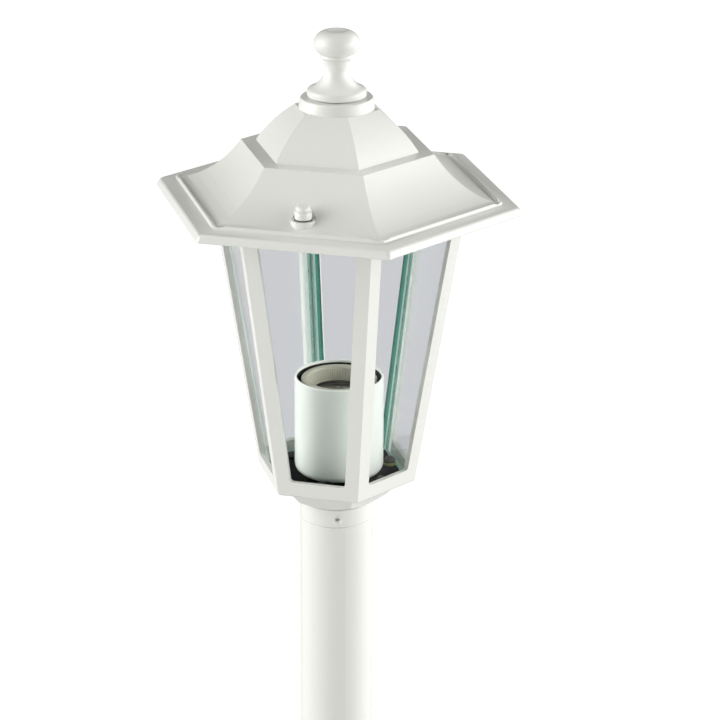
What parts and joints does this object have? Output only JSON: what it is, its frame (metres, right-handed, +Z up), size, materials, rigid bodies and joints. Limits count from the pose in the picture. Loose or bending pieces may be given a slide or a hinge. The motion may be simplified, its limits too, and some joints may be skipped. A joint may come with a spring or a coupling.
{
  "type": "post top lantern",
  "caption": "Free-standing garden post light: glazed hexagonal lantern with a lift-off six-sided roof and turned finial, on a round tube with a cast foot.",
  "frame": {"origin": "on the ground under the middle of the foot, on the post's axis", "axes": "+Z up the post, -Y towards the viewer side that carries the front cap nut, +X to the right when looking along +Y"},
  "size_m": [0.1988, 0.1732, 1],
  "materials": {
    "white_enamel": "gloss white powder coat on cast and drawn aluminium",
    "clear_glass": "clear float glass, 3 mm, ground edges",
    "bare_aluminium": "bare sheet",
    "zinc_steel": "zinc plated",
    "black_rubber": "matt",
    "black_plate": "black insulating sheet, semi-gloss",
    "black_screws": "black oxide, glossy domed heads",
    "ceramic": "unglazed cream porcelain",
    "shell_metal": "nickel plated sheet",
    "contact_brass": "bare spring brass",
    "brown_wire": "insulation",
    "blue_wire": "insulation",
    "earth_wire": "yellow and green insulation"
  },
  "bodies": {
    "post": {"base_flange": "white_enamel", "post_tube": "white_enamel", "post_collar": "white_enamel", "base_grub_screw_1": "zinc_steel", "base_grub_screw_2": "zinc_steel", "base_grub_screw_3": "zinc_steel", "collar_grub_screw_1": "zinc_steel", "collar_grub_screw_2": "zinc_steel", "collar_grub_screw_3": "zinc_steel"},
    "head": {"lantern_cage": "white_enamel", "glass_pane_1": "clear_glass", "glass_pane_2": "clear_glass", "glass_pane_3": "clear_glass", "glass_pane_4": "clear_glass", "glass_pane_5": "clear_glass", "glass_pane_6": "clear_glass", "pane_retainer": "bare_aluminium", "retainer_screw_1": "zinc_steel", "retainer_screw_2": "zinc_steel", "retainer_screw_3": "zinc_steel", "retainer_screw_4": "zinc_steel", "roof_gasket": "black_rubber", "roof_stud_front": "zinc_steel", "roof_stud_rear": "zinc_steel", "floor_plate": "black_plate", "floor_screw_front": "black_screws", "floor_screw_left": "black_screws", "floor_screw_small": "black_screws", "earth_screw": "black_screws", "lampholder_sleeve": "white_enamel", "lampholder_body": "ceramic", "lamp_screw_shell": "shell_metal", "centre_contact": "contact_brass", "lead_grommet": "black_rubber", "terminal_block": "ceramic", "lead_live": "brown_wire", "lead_neutral": "blue_wire", "lead_earth": "earth_wire", "holder_screw_1": "zinc_steel", "holder_screw_2": "zinc_steel"},
    "roof": {"roof_shell": "white_enamel", "finial": "white_enamel", "finial_washer": "zinc_steel", "finial_screw": "zinc_steel"},
    "seal_front": {"nut_seal_front": "black_rubber"},
    "nut_front": {"cap_nut_front": "white_enamel"},
    "seal_rear": {"nut_seal_rear": "black_rubber"},
    "nut_rear": {"cap_nut_rear": "white_enamel"}
  },
  "joints": [
    {"name": "head_swivel", "type": "hinge", "parent": "post", "child": "head", "pos_m": [0, 0, 0.7264], "axis": [0, 0, 1], "range_deg": [-180, 180]},
    {"name": "roof_lift", "type": "slide", "parent": "head", "child": "roof", "axis": [0, 0, 1], "range_m": [0, 0.13]},
    {"name": "nut_front_rise", "type": "slide", "parent": "roof", "child": "seal_front", "axis": [0, 0, 1], "range_m": [0, 0.00525]},
    {"name": "nut_front_turn", "type": "hinge", "parent": "seal_front", "child": "nut_front", "pos_m": [0, -0.065, 0.9184], "axis": [0, 0, 1], "range_deg": [0, 2700]},
    {"name": "nut_rear_rise", "type": "slide", "parent": "roof", "child": "seal_rear", "axis": [0, 0, 1], "range_m": [0, 0.00525]},
    {"name": "nut_rear_turn", "type": "hinge", "parent": "seal_rear", "child": "nut_rear", "pos_m": [0, 0.065, 0.9184], "axis": [0, 0, 1], "range_deg": [0, 2700]}
  ],
  "couplings": [
    {"joint": "nut_front_turn", "follows": "nut_front_rise", "rad_per_m": 8976},
    {"joint": "nut_rear_turn", "follows": "nut_rear_rise", "rad_per_m": 8976}
  ]
}
